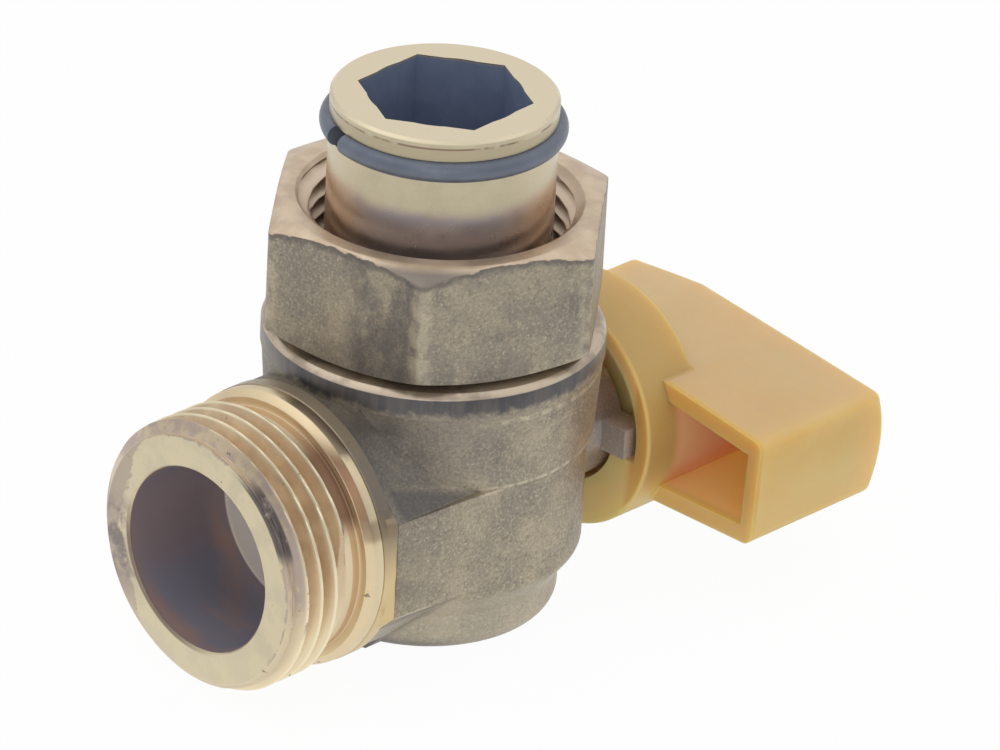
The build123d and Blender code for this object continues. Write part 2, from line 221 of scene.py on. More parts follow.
def solid_copy(name, node):
    """Welded copy of a node's mesh as a new object."""
    mesh = nodes[node].data.copy()
    mesh.name = name
    bm = bmesh.new()
    bm.from_mesh(mesh)
    bmesh.ops.remove_doubles(bm, verts=bm.verts, dist=2e-6)
    bmesh.ops.dissolve_degenerate(bm, edges=bm.edges, dist=1e-6)
    bm.to_mesh(mesh)
    bm.free()
    for layer in ("custom_normal", "sharp_edge", "sharp_face"):
        found = mesh.attributes.get(layer)
        if found:
            mesh.attributes.remove(found)
    return new_object(name, mesh)


def round_edges(obj, width, angle):
    """Rounds an object's edges that turn by more than an angle in degrees."""
    mod = obj.modifiers.new("edge", "BEVEL")
    mod.width = width * MM
    mod.segments = 2
    mod.limit_method = "ANGLE"
    mod.angle_limit = math.radians(angle)


def baked(obj):
    """Mesh of an object with its modifiers applied; the object itself goes."""
    graph = bpy.context.evaluated_depsgraph_get()
    mesh = bpy.data.meshes.new_from_object(obj.evaluated_get(graph))
    bpy.data.objects.remove(obj)
    return mesh


def cut_by(obj, tools):
    """Mesh of an object without the tools' volumes; the object and the tools go."""
    for tool in tools:
        mod = obj.modifiers.new("cut", "BOOLEAN")
        mod.operation = "DIFFERENCE"
        mod.solver = "MANIFOLD"
        mod.object = tool
    mesh = baked(obj)
    for tool in tools:
        bpy.data.objects.remove(tool)
    return mesh


def tool_object(bm):
    """Object for a cutting tool."""
    mesh = bpy.data.meshes.new("tool")
    bm.to_mesh(mesh)
    bm.free()
    return new_object("tool", mesh)


def box_tool(low, high):
    """Cutting block between two corners."""
    bm = bmesh.new()
    bmesh.ops.create_cube(bm, size=1.0)
    for v in bm.verts:
        v.co = [(l + (h - l) * (c + 0.5)) * MM for c, l, h in zip(v.co, low, high)]
    return tool_object(bm)


def rod_tool(radius, start, end, upright=False):
    """Round cutting bar along the branch axis, or upright along Z."""
    middle = (start + end) / 2
    if upright:
        matrix = Matrix.Translation(Vector((0, 0, middle)) * MM)
    else:
        matrix = Matrix.Translation(Vector((middle, 0, AXIS)) * MM) @ Matrix.Rotation(math.pi / 2, 4, "Y")
    bm = bmesh.new()
    bmesh.ops.create_cone(bm, cap_ends=True, segments=160, radius1=radius * MM, radius2=radius * MM,
                          depth=(end - start) * MM, matrix=matrix)
    return tool_object(bm)


def srgb(r, g, b):
    """Colour written as it shows on screen, 0 to 255."""
    lin = [v / 255 / 12.92 if v < 11 else ((v / 255 + 0.055) / 1.055) ** 2.4 for v in (r, g, b)]
    return (*lin, 1.0)


class Shade:
    """One procedural material, built node by node. Places are in millimetres."""

    def __init__(self, name):
        self.mat = bpy.data.materials.new(name)
        self.mat.use_nodes = True
        self.tree = self.mat.node_tree
        self.bsdf = self.tree.nodes["Principled BSDF"]
        self.place = self.add("TexCoord").outputs["Object"]
        spot = self.add("SeparateXYZ", {"Vector": self.place})
        self.x, self.y, self.z = (self.math("MULTIPLY", spot.outputs[a], 1 / MM) for a in "XYZ")

    def put(self, socket, value):
        """Links a socket to another, or sets its value."""
        if isinstance(value, bpy.types.NodeSocket):
            self.tree.links.new(value, socket)
        else:
            socket.default_value = value

    def add(self, kind, inputs=None, **props):
        """New node with its properties and inputs."""
        node = self.tree.nodes.new("ShaderNode" + kind)
        for key, value in props.items():
            setattr(node, key, value)
        for key, value in (inputs or {}).items():
            self.put(node.inputs[key], value)
        return node

    def math(self, operation, a, b=0.0):
        """One sum, product or the like."""
        return self.add("Math", {0: a, 1: b}, operation=operation).outputs[0]

    def radius(self, a, b):
        """Distance from an axis, from two places across it."""
        squares = self.math("ADD", self.math("MULTIPLY", a, a), self.math("MULTIPLY", b, b))
        return self.math("SQRT", squares)

    def above_axis(self):
        """Height over the branch axis."""
        return self.math("SUBTRACT", self.z, AXIS)

    def about_x(self):
        """Distance from the branch axis."""
        return self.radius(self.y, self.above_axis())

    def about_z(self):
        """Distance from the spigot's axis."""
        return self.radius(self.x, self.y)

    def towards(self, degrees):
        """Place along a level direction, given in degrees from +X."""
        turn = math.radians(degrees)
        way = (math.cos(turn), math.sin(turn), 0)
        dot = self.add("VectorMath", {0: self.place, 1: way}, operation="DOT_PRODUCT")
        return self.math("MULTIPLY", dot.outputs["Value"], 1 / MM)

    def noise(self, size, detail=3.0, rough=0.55, place=None):
        """Cloudy value with features of the given size."""
        inputs = {"Vector": place or self.place, "Scale": 1 / (size * MM), "Detail": detail,
                  "Roughness": rough}
        return self.add("TexNoise", inputs).outputs["Fac"]

    def stretched(self, size, along, detail=3.0, rough=0.55):
        """Cloudy value drawn out: a small factor on an axis makes long streaks along it."""
        place = self.add("VectorMath", {0: self.place, 1: along}, operation="MULTIPLY").outputs[0]
        return self.noise(size, detail, rough, place)

    def lines(self, along, size, detail=3.0):
        """Fine turned lines: noise that changes only along one place value."""
        spot = self.add("CombineXYZ", {"X": self.math("MULTIPLY", along, MM)}).outputs[0]
        return self.noise(size, detail, 0.6, spot)

    def ragged(self, value, size, reach, detail=4.0, rough=0.55):
        """Place value shifted by noise, for uneven borders."""
        shift = self.math("SUBTRACT", self.noise(size, detail, rough), 0.5)
        return self.math("ADD", value, self.math("MULTIPLY", shift, reach))

    def ramp(self, value, low, high, start=0.0, end=1.0):
        """Soft step from start at low to end at high."""
        inputs = {"Value": value, "From Min": low, "From Max": high, "To Min": start, "To Max": end}
        return self.add("MapRange", inputs, interpolation_type="SMOOTHSTEP").outputs[0]

    def near(self, value, centre, half, soft):
        """One within half of the centre, fading out over soft."""
        off = self.math("ABSOLUTE", self.math("SUBTRACT", value, centre))
        return self.ramp(off, half + soft, half)

    def all_of(self, *shares):
        """Product of shares: one only where all of them are."""
        result = shares[0]
        for share in shares[1:]:
            result = self.math("MULTIPLY", result, share)
        return result

    def any_of(self, *shares):
        """The largest of some shares."""
        result = shares[0]
        for share in shares[1:]:
            result = self.math("MAXIMUM", result, share)
        return result

    def mix(self, share, a, b):
        """Colour between a and b."""
        return self.add("Mix", {0: share, 6: a, 7: b}, data_type="RGBA").outputs[2]

    def tint(self, colour, tone, *shares):
        """Colour with a tone laid over it where all the shares are."""
        return self.mix(self.all_of(*shares), colour, tone)

    def blend(self, share, a, b):
        """Number between a and b."""
        return self.add("Mix", {0: share, 2: a, 3: b}, data_type="FLOAT").outputs[0]

    def bump(self, height, strength, distance):
        """Normal for a height value."""
        inputs = {"Height": height, "Strength": strength, "Distance": distance * MM}
        return self.add("Bump", inputs).outputs["Normal"]

    def done(self, **sockets):
        """Sets the shader's sockets and gives the material."""
        for key, value in sockets.items():
            self.put(self.bsdf.inputs[key.replace("_", " ")], value)
        return self.mat


def forged_skin(s, smears):
    """Sand-blasted forging with a share of dark smears: colour, roughness and height."""
    cloud = s.ramp(s.noise(7.0, 4.0, 0.6), 0.35, 0.65)
    smear = s.ramp(s.stretched(4.2, (1.0, 1.0, 0.6), 4.0, 0.6), 0.55, 0.7)
    grain = s.noise(0.3, 3.0, 0.7)
    glint = s.ramp(s.noise(0.34, 1.0), 0.7, 0.8)
    colour = s.mix(cloud, srgb(152, 144, 130), srgb(178, 167, 146))
    colour = s.tint(colour, srgb(122, 117, 112), smear, smears)
    colour = s.tint(colour, srgb(208, 196, 168), s.ramp(grain, 0.5, 0.7), 0.6)
    colour = s.tint(colour, srgb(112, 106, 98), s.ramp(grain, 0.46, 0.28), 0.6)
    colour = s.tint(colour, srgb(230, 220, 192), glint, 0.6)
    rough = s.ramp(grain, 0.3, 0.7, 0.58, 0.46)
    return colour, rough, grain


def neck_shade_and_highlight(s, colour):
    """Painted shade on the slanted flats of the neck, in the valley beside them and on the lower flats, and a
    painted highlight along the lower edge.
    """
    up = s.above_axis()
    side = s.math("ABSOLUTE", s.y)
    upper = s.math("MULTIPLY", s.math("ADD", side, up), DIAGONAL)
    lower = s.math("MULTIPLY", s.math("SUBTRACT", side, up), DIAGONAL)
    wedge = s.math("ADD", up, s.math("MULTIPLY", s.x, 0.28))
    # painted shade on the slanted flats and in the valley beside them
    slant_shade = s.all_of(s.near(upper, SLANT, 0.2, 0.4), s.ramp(up, LEDGE - 0.1, LEDGE + 0.1),
                     s.ramp(wedge, 3.5, 2.4), s.ramp(s.x, NECK_X, NECK_X + 1.2, 0.5, 1.0))
    hollow_shade = s.all_of(s.ramp(s.x, -1.0, -16.0), s.ramp(up, 3.0, 8.0), s.ramp(up, 14.0, 11.0))
    dark = s.any_of(s.all_of(slant_shade, 0.8), s.all_of(hollow_shade, 0.6))
    colour = s.mix(dark, colour, srgb(94, 92, 95))
    neck = s.ramp(s.x, -6.0, -9.0)
    # painted shade on the lower slanted flats
    under = s.all_of(s.near(lower, SLANT, 0.15, 0.25), s.ramp(up, -LEDGE + 0.2, -LEDGE - 0.3),
                     s.ramp(s.x, NECK_X, NECK_X + 2.7, 0.3, 1.0))
    colour = s.tint(colour, srgb(104, 100, 98), under, neck, 0.6)
    # painted highlight along the lower edge of the side flats
    bend_highlight = s.all_of(s.near(up, -LEDGE, 0.08, 0.16), s.near(side, NECK_HALF, 0.3, 0.2))
    colour = s.tint(colour, srgb(220, 208, 184), bend_highlight, neck, 0.6)
    beside_rim = s.all_of(s.ramp(s.x, -12.5, -16.5), s.near(up, -0.5, 2.0, 3.0))
    return s.tint(colour, srgb(112, 106, 98), beside_rim, 0.3)


def body_skin(s):
    """Forging with painted shade on the neck and below the band, painted light on the stem boss and the foot,
    a painted shadow along the bottom of the foot, and a worn ledge with a painted highlight.
    """
    colour, rough, grain = forged_skin(s, 0.3)
    colour = neck_shade_and_highlight(s, colour)
    # painted shade on the forging just below the band, stronger towards the branch
    under_band_shade = s.ramp(s.z, BAND_Z - 3.5, BAND_Z)
    colour = s.tint(colour, srgb(116, 110, 105), under_band_shade, s.ramp(s.x, 0.0, -8.0, 0.05, 0.35))
    # painted light on the stem boss, in the shaded gap by the handle's hub
    colour = s.tint(colour, srgb(212, 202, 206), s.ramp(s.x, 12.5, 15.0), 0.4)
    # painted light from the floor on the foot
    colour = s.tint(colour, srgb(208, 198, 176), s.near(s.z, 3.6, 1.8, 2.2), 0.4)
    # painted contact shadow along the bottom of the foot, on the branch side
    sole_shadow = s.ramp(s.z, 2.2, 0.6)
    colour = s.tint(colour, srgb(100, 98, 102), sole_shadow, s.ramp(s.x, -4.0, -9.0, 0.0, 0.6))
    wear = s.ramp(s.noise(1.1, 4.0, 0.65), 0.36, 0.56)
    # the ledge's worn edge also carries a painted highlight
    ledge = s.all_of(s.near(s.above_axis(), LEDGE, 0.12, 0.3), s.ramp(s.x, -8.0, -6.5), wear,
                     s.ramp(s.about_z(), LEDGE_R - 0.4, LEDGE_R - 0.12))
    seam = s.all_of(s.near(s.z, BAND_Z - 0.75, 0.1, 0.3), s.ramp(s.x, -9.0, -4.0), wear)
    # wear on the seam, and wear with a painted highlight on the ledge
    worn = s.any_of(s.all_of(ledge, 0.55), s.all_of(seam, 0.4))
    return s.mix(worn, colour, srgb(226, 214, 188)), rough, grain


def forged_brass():
    """Skin of the forged body."""
    s = Shade("forged_brass")
    colour, rough, grain = body_skin(s)
    return s.done(Base_Color=colour, Roughness=rough, Metallic=0.8, Normal=s.bump(grain, 0.5, 0.07))


def band_brass():
    """Turned collar: smooth band with a painted dark reflection, a bright lip and a ragged border to the
    forging.
    """
    s = Shade("band_brass")
    colour, rough, grain = body_skin(s)
    smooth_part = s.ramp(s.ragged(s.z, 1.1, 2.2), BAND_Z - 0.1, BAND_Z + 0.9)
    # painted dark reflection on the turned band, streaked up and down
    streak = s.stretched(1.4, (1.0, 1.0, 0.15), 3.0, 0.6)
    band = s.mix(s.ramp(streak, 0.35, 0.65), srgb(86, 85, 88), srgb(104, 100, 98))
    # the band is paler towards the right front and on the left
    paler_band = s.any_of(s.all_of(s.ramp(s.x, 4.0, 9.0), s.ramp(s.y, -5.0, -9.0), 0.5),
                      s.all_of(s.ramp(s.y, 0.0, 7.0), 0.3))
    band = s.mix(paler_band, band, srgb(172, 164, 152))
    smudge = s.ramp(s.noise(4.0, 3.0), 0.46, 0.6)
    lip = s.mix(smudge, srgb(208, 192, 170), srgb(172, 156, 140))
    band = s.mix(s.ramp(s.z, COLLAR_TOP - 0.6, COLLAR_TOP - 0.5), band, lip)
    colour = s.mix(smooth_part, colour, band)
    rough = s.blend(smooth_part, rough, 0.34)
    height = s.blend(smooth_part, grain, s.lines(s.z, 0.12))
    return s.done(Base_Color=colour, Roughness=rough, Metallic=0.8, Normal=s.bump(height, 0.25, 0.04))


def thread_tones(s, r, patch):
    """Pale crests and tan flanks, with painted light from the floor towards the bottom."""
    up = s.above_axis()
    crest = s.ramp(r, THREAD_R - 0.22, THREAD_R - 0.06)
    flank = s.mix(s.ramp(patch, 0.35, 0.65), srgb(206, 180, 148), srgb(222, 199, 165))
    colour = s.mix(crest, flank, srgb(240, 228, 196))
    # painted light from the floor on the lower part of the thread
    colour = s.tint(colour, srgb(250, 236, 200), s.ramp(up, 3.0, -5.0), 0.6)
    return s.tint(colour, srgb(164, 138, 114), s.near(up, 7.5, 2.5, 3.5), s.ramp(s.y, 2.0, -3.0), 0.1)


def behind_thread(s, r, colour):
    """Relief groove, shoulder and rim: their colour, and the shares of the groove and the rim."""
    up = s.above_axis()
    high = s.all_of(s.near(up, 8.0, 2.0, 2.2), s.ramp(s.y, 2.0, -3.0))
    groove = s.all_of(s.ramp(s.x, RELIEF_X - 0.1, RELIEF_X + 0.1), s.ramp(r, RELIEF_R + 0.5, RELIEF_R + 0.2))
    deep = s.near(s.x, SHOULDER_X - 0.45, 0.35, 0.15)
    pale = s.tint(srgb(246, 230, 198), srgb(212, 176, 130), deep, 0.8)
    colour = s.mix(groove, colour, s.mix(high, pale, srgb(146, 114, 90)))
    stained = s.all_of(s.near(s.x, RELIEF_X - 0.1, 0.15, 0.25), s.ramp(s.noise(1.6, 4.0, 0.6), 0.44, 0.56),
                       s.near(up, 6.5, 3.5, 1.5), s.ramp(s.y, -4.0, -6.0))
    colour = s.tint(colour, srgb(104, 94, 96), stained, 0.8)
    shoulder = s.ramp(s.x, SHOULDER_X - 0.02, SHOULDER_X + 0.1)
    tarnish = s.all_of(s.ramp(s.ragged(up, 1.5, 1.6, 3.0), 10.2, 10.9), s.ramp(s.y, 0.5, -1.5), 0.85)
    colour = s.mix(shoulder, colour, s.mix(tarnish, srgb(224, 208, 174), srgb(126, 110, 97)))
    cone = s.all_of(shoulder, s.ramp(s.x, SHOULDER_X + CONE + 0.12, SHOULDER_X + CONE))
    colour = s.mix(cone, colour, s.mix(high, srgb(230, 210, 172), srgb(146, 116, 92)))
    # rim gold below the axis, with painted shade from the collar above it, paler again near the top
    rim = s.mix(s.ramp(up, -1.5, 6.0), srgb(222, 198, 150), srgb(124, 114, 102))
    rim = s.mix(s.ramp(up, 9.5, 12.0), rim, srgb(164, 150, 128))
    ring = s.ramp(s.x, RIM_X - 0.05, RIM_X + 0.05)
    colour = s.mix(ring, colour, rim)
    dirt = s.all_of(shoulder, s.near(up, 4.6, 0.5, 0.8), s.ramp(s.y, -8.0, -9.0))
    return s.tint(colour, srgb(142, 122, 98), dirt, 0.6), groove, ring


def face_tones(s, r, patch, colour):
    """Greyed chamfer and pale face with worn and sooty edges: colour, and the share of the face."""
    up = s.above_axis()
    inner = FACE_X + CHAMFER_X
    chamfer = s.all_of(s.ramp(s.x, inner + 0.5, inner + 0.1), s.ramp(r, THREAD_R - 1.25, THREAD_R - 1.0))
    greyed = s.mix(s.ramp(patch, 0.42, 0.56), srgb(210, 192, 164), srgb(186, 169, 156))
    greyed = s.mix(s.ramp(up, 1.0, -3.0), greyed, srgb(220, 204, 172))
    soot = s.all_of(s.ramp(s.y, 5.0, 9.0), s.near(up, -2.0, 1.5, 4.0),
                    s.ramp(s.noise(2.2, 4.0, 0.6), 0.4, 0.6))
    greyed = s.mix(soot, greyed, srgb(112, 106, 108))
    colour = s.mix(chamfer, colour, greyed)
    seam = s.all_of(s.near(s.x, inner + 0.55, 0.06, 0.14), s.ramp(s.noise(2.4, 4.0, 0.65), 0.5, 0.58),
                    s.ramp(up, -4.0, -1.0))
    colour = s.tint(colour, srgb(112, 102, 98), seam, 0.75)
    left = s.all_of(s.ramp(s.y, 3.0, 8.0), s.ramp(up, -10.5, -6.5), s.ramp(up, 9.0, 5.0))
    edge = s.math("ADD", s.ragged(r, 2.6, 2.6, 4.0, 0.65), s.math("MULTIPLY", left, 1.6))
    face = s.ramp(s.x, FACE_X + 0.12, FACE_X + 0.02)
    flat = s.mix(s.ramp(patch, 0.4, 0.6), srgb(204, 193, 166), srgb(216, 203, 172))
    # painted light from the floor on the lower part of the face
    flat = s.tint(flat, srgb(226, 213, 181), s.ramp(up, -5.0, -9.0), 0.3)
    worn = s.all_of(s.ramp(edge, THREAD_R - 1.35, THREAD_R - 1.2), s.any_of(left, s.ramp(up, -9.0, -4.0)))
    flat = s.tint(flat, srgb(172, 156, 144), worn, 0.7)
    flat = s.tint(flat, srgb(140, 130, 126), soot, s.ramp(edge, THREAD_R - 2.6, THREAD_R - 1.6))
    colour = s.mix(face, colour, flat)
    scuffed = s.all_of(s.ramp(s.y, -3.0, -6.0), s.near(up, 7.4, 2.0, 1.8), s.near(r, 12.0, 0.38, 0.2),
                       s.ramp(s.x, FACE_X + 1.1, FACE_X + 0.9), s.ramp(s.noise(2.0, 4.0, 0.6), 0.26, 0.44))
    return s.tint(colour, srgb(100, 92, 91), scuffed, 0.95), face


def bore_tones(s, r, colour):
    """Dark bore painted with a bluish haze of stray light and with orange-brown streaks, and its end painted
    near white for the light falling on it: colour, and the shares of the bore and its end.
    """
    up = s.above_axis()
    mouth = s.all_of(s.ramp(r, BORE_R + 0.5, BORE_R + 0.3), s.ramp(s.y, -4.0, 3.0), s.ramp(up, 4.0, -2.0))
    colour = s.tint(colour, srgb(108, 92, 84), mouth, 0.8)
    spots = s.ramp(s.noise(0.9, 2.0), 0.7, 0.76)
    colour = s.tint(colour, srgb(104, 88, 72), spots, 0.7)
    inside = s.all_of(s.ramp(r, BORE_R + 0.1, BORE_R + 0.02), s.ramp(s.x, FACE_X + 0.05, FACE_X + 0.3))
    orange_streaks = s.any_of(s.ramp(s.stretched(4.0, (1.0, 0.4, 0.4), 3.0, 0.5), 0.42, 0.68),
                    s.all_of(s.ramp(s.y, 6.5, 9.0), 0.5))
    # painted bluish haze of stray light in the bore, with orange-brown streaks
    bore = s.tint(srgb(146, 145, 160), srgb(200, 150, 122), orange_streaks, 0.55)
    # painted light: the end of the bore is near white where light falls on it
    end = s.ramp(s.x, BORE_X - 0.3, BORE_X - 0.05)
    bore = s.mix(end, bore, srgb(250, 242, 228))
    return s.mix(inside, colour, bore), inside, end


def branch_brass():
    """Turned branch with its thread, shoulder, face and bore."""
    s = Shade("branch_brass")
    r = s.about_x()
    patch = s.noise(3.2, 4.0, 0.6)
    colour = thread_tones(s, r, patch)
    colour, groove, ring = behind_thread(s, r, colour)
    colour, face = face_tones(s, r, patch, colour)
    colour, inside, end = bore_tones(s, r, colour)
    rough = s.blend(inside, s.ramp(patch, 0.3, 0.7, 0.32, 0.42), 0.4)
    metal = s.blend(s.ramp(r, THREAD_R - 0.25, THREAD_R - 0.9), 0.95, 0.6)
    metal = s.blend(groove, s.blend(ring, metal, 0.5), 0.35)
    metal = s.blend(face, metal, 0.95)
    metal = s.blend(inside, metal, s.blend(end, 0.3, 0.0))
    return s.done(Base_Color=colour, Roughness=rough, Metallic=metal,
                  Normal=s.bump(s.lines(s.x, 0.3, 1.0), 0.08, 0.03))


def nut_flats(s, r, colour):
    """Smears, a painted highlight on the corners and a dark lower edge on the nut's flats."""
    colour = s.tint(colour, srgb(112, 107, 102), 0.18)
    smear = s.all_of(s.ramp(s.towards(NUT_TURN + 150), NUT_HALF - 0.15, NUT_HALF - 0.05),
                     s.near(s.towards(NUT_TURN + 240), 4.6, 2.2, 3.0),
                     s.ramp(s.stretched(3.0, (1.0, 1.0, 0.7), 4.0, 0.6), 0.36, 0.56))
    colour = s.tint(colour, srgb(92, 91, 94), smear, 0.6)
    # painted highlight on the corners of the flats
    corner = s.all_of(s.ramp(r, 16.6, 17.0), s.ramp(s.noise(1.5, 3.0), 0.34, 0.6))
    colour = s.tint(colour, srgb(206, 194, 168), corner, 0.45)
    low = s.all_of(s.ramp(s.z, NUT_Z + 3.6, NUT_Z + 1.4), s.ramp(s.noise(2.6, 4.0, 0.6), 0.4, 0.56))
    return s.tint(colour, srgb(100, 97, 95), low, 0.4)


def nut_brass():
    """Forged flats, and a bare turned chamfer, top and bore."""
    s = Shade("nut_brass")
    colour, rough, grain = forged_skin(s, 0.55)
    r = s.about_z()
    colour = nut_flats(s, r, colour)
    slope = math.tan(math.radians(NUT_CROWN_SLOPE))
    chamfer_z = s.math("SUBTRACT", NUT_TOP + NUT_CROWN_R * slope, s.math("MULTIPLY", r, slope))
    over = s.math("SUBTRACT", s.z, chamfer_z)
    ragged = s.ragged(over, 1.6, 1.6)
    colour = s.tint(colour, srgb(108, 103, 99), s.ramp(ragged, -1.0, -0.3), 0.75)
    bare = s.any_of(s.ramp(ragged, -0.15, 0.0), s.ramp(over, -0.07, -0.02),
                    s.ramp(s.z, NUT_TOP - 0.1, NUT_TOP - 0.05),
                    s.ramp(r, NUT_MOUTH_R + 0.15, NUT_MOUTH_R + 0.05))
    metal = s.mix(s.ramp(s.noise(2.4, 3.0), 0.35, 0.65), srgb(204, 182, 158), srgb(220, 200, 174))
    # painted shade on the chamfer on the side facing the front
    front = s.ramp(s.towards(NUT_TURN + 180), 13.5, 15.5)
    metal = s.tint(metal, srgb(124, 117, 112), s.ramp(r, 14.8, 16.0), front, 0.9)
    # painted light on the threads inside the mouth
    deep = s.ramp(r, NUT_MOUTH_R - 0.05, NUT_MOUTH_R - 1.05)
    metal = s.tint(metal, srgb(238, 220, 198), deep, 0.75)
    colour = s.mix(bare, colour, metal)
    rough = s.blend(bare, rough, 0.36)
    height = s.blend(bare, grain, s.lines(r, 0.15))
    return s.done(Base_Color=colour, Roughness=rough, Metallic=0.8, Normal=s.bump(height, 0.4, 0.06))


def spigot_brass():
    """Turned tube, brown and then grey towards the nut, with a painted highlight along its sides, a painted
    shadow of the ring, and dark inside under a painted bluish haze of stray light.
    """
    s = Shade("spigot_brass")
    streak = s.noise(2.0, 4.0, 0.6)
    cloud = s.ramp(streak, 0.3, 0.7)
    colour = s.mix(cloud, srgb(184, 175, 149), srgb(196, 186, 158))
    # painted highlight along the left and right sides of the spigot, across the view
    flank = s.ramp(s.math("ABSOLUTE", s.towards(NUT_TURN + 273)), 5.5, 10.0)
    colour = s.tint(colour, srgb(224, 208, 182), flank, 0.35)
    # brown, then grey, towards the nut, starting lower along the sides
    tone_height = s.math("SUBTRACT", s.ragged(s.z, 4.0, 1.4, 2.0), s.math("MULTIPLY", flank, 0.7))
    brown = s.ramp(tone_height, BROWN_Z + 1.4, BROWN_Z)
    colour = s.tint(colour, srgb(228, 194, 160), brown, s.blend(flank, 0.4, 0.8))
    grey = s.mix(s.ramp(s.z, BROWN_Z - 0.2, BROWN_Z - 1.8), srgb(130, 127, 140), srgb(166, 162, 174))
    colour = s.tint(colour, grey, s.ramp(tone_height, BROWN_Z + 1.5, BROWN_Z), s.blend(flank, 0.8, 0.25))
    colour = s.mix(s.ramp(s.z, SPIGOT_TOP - 0.35, SPIGOT_TOP - 0.2), colour, srgb(228, 214, 186))
    # painted shadow of the ring on the band above it
    colour = s.tint(colour, srgb(170, 158, 130), s.near(s.z, SPIGOT_TOP - 1.5, 0.55, 0.2), 0.6)
    line = s.all_of(s.near(s.z, SPIGOT_TOP - 0.75, 0.05, 0.1), s.ramp(s.noise(2.5, 3.0), 0.36, 0.5))
    colour = s.tint(colour, srgb(122, 98, 80), line, 0.8)
    # painted bluish haze of stray light inside the key socket
    inside = s.all_of(s.ramp(s.about_z(), KEY_R, KEY_R - 0.1),
                      s.ramp(s.z, SPIGOT_TOP - 0.02, SPIGOT_TOP - 0.3))
    colour = s.mix(inside, colour, s.mix(cloud, srgb(112, 124, 152), srgb(120, 132, 158)))
    rough = s.blend(inside, s.ramp(streak, 0.3, 0.7, 0.26, 0.36), 0.5)
    return s.done(Base_Color=colour, Roughness=rough, Metallic=s.blend(inside, 0.95, 0.1),
                  Normal=s.bump(s.lines(s.z, 0.3, 1.0), 0.08, 0.03))


def stem_brass():
    """Turned stem."""
    s = Shade("stem_brass")
    colour = s.mix(s.ramp(s.noise(1.5, 3.0), 0.35, 0.65), srgb(176, 156, 116), srgb(206, 186, 142))
    return s.done(Base_Color=colour, Roughness=s.ramp(s.noise(0.8), 0.3, 0.7, 0.3, 0.42), Metallic=1.0,
                  Normal=s.bump(s.lines(s.x, 0.12), 0.12, 0.03))


def ring_steel():
    """Dull grey wire."""
    s = Shade("ring_steel")
    colour = s.mix(s.ramp(s.noise(2.2, 3.0), 0.3, 0.7), srgb(105, 112, 125), srgb(114, 121, 134))
    return s.done(Base_Color=colour, Roughness=s.ramp(s.noise(0.6), 0.3, 0.7, 0.38, 0.46), Metallic=0.35,
                  Normal=s.bump(s.noise(0.12, 2.0), 0.1, 0.02))


def pocket_share(s, across, high):
    """One on the walls of the lever's pocket."""
    half = s.math("ADD", s.math("MULTIPLY", across, POCKET_SLOPE), POCKET_HALF)
    gap = s.math("SUBTRACT", s.math("ABSOLUTE", high), half)
    return s.all_of(s.ramp(gap, 0.25, 0.1), s.ramp(across, POCKET_TIP - 0.31, POCKET_TIP - 0.16),
                    s.ramp(across, LEVER_START, LEVER_START - 1.5), s.ramp(s.x, LEVER_X + 0.2, LEVER_X + 1.8),
                    s.ramp(s.x, POCKET_BACK + 0.5, POCKET_BACK + 0.3))


def hub_painted_light(s, colour, rim):
    """Hub with a darker side of painted shade that turns to painted light underneath, and painted light
    making the front pale and the recess paler, as light glows through the plastic.
    """
    r = s.about_x()
    # painted shade on the hub's side, turning to painted light underneath
    under = s.ramp(s.above_axis(), -1.0, -7.0)
    side = s.mix(under, srgb(192, 162, 96), srgb(255, 222, 142))
    colour = s.tint(colour, side, rim, s.blend(under, 0.7, 1.0))
    # painted light on the hub's front face, shaded by the body
    front = s.mix(under, srgb(240, 204, 130), srgb(255, 226, 150))
    colour = s.mix(s.ramp(s.x, HUB_FRONT + 0.4, HUB_FRONT + 0.05), colour, front)
    # painted light glowing in the hub's recess
    recess = s.all_of(s.ramp(r, HUB_R - 1.0, HUB_R - 1.6), s.ramp(s.x, HUB_BACK - 1.0, HUB_BACK - 2.0))
    return s.mix(recess, colour, srgb(255, 222, 152))


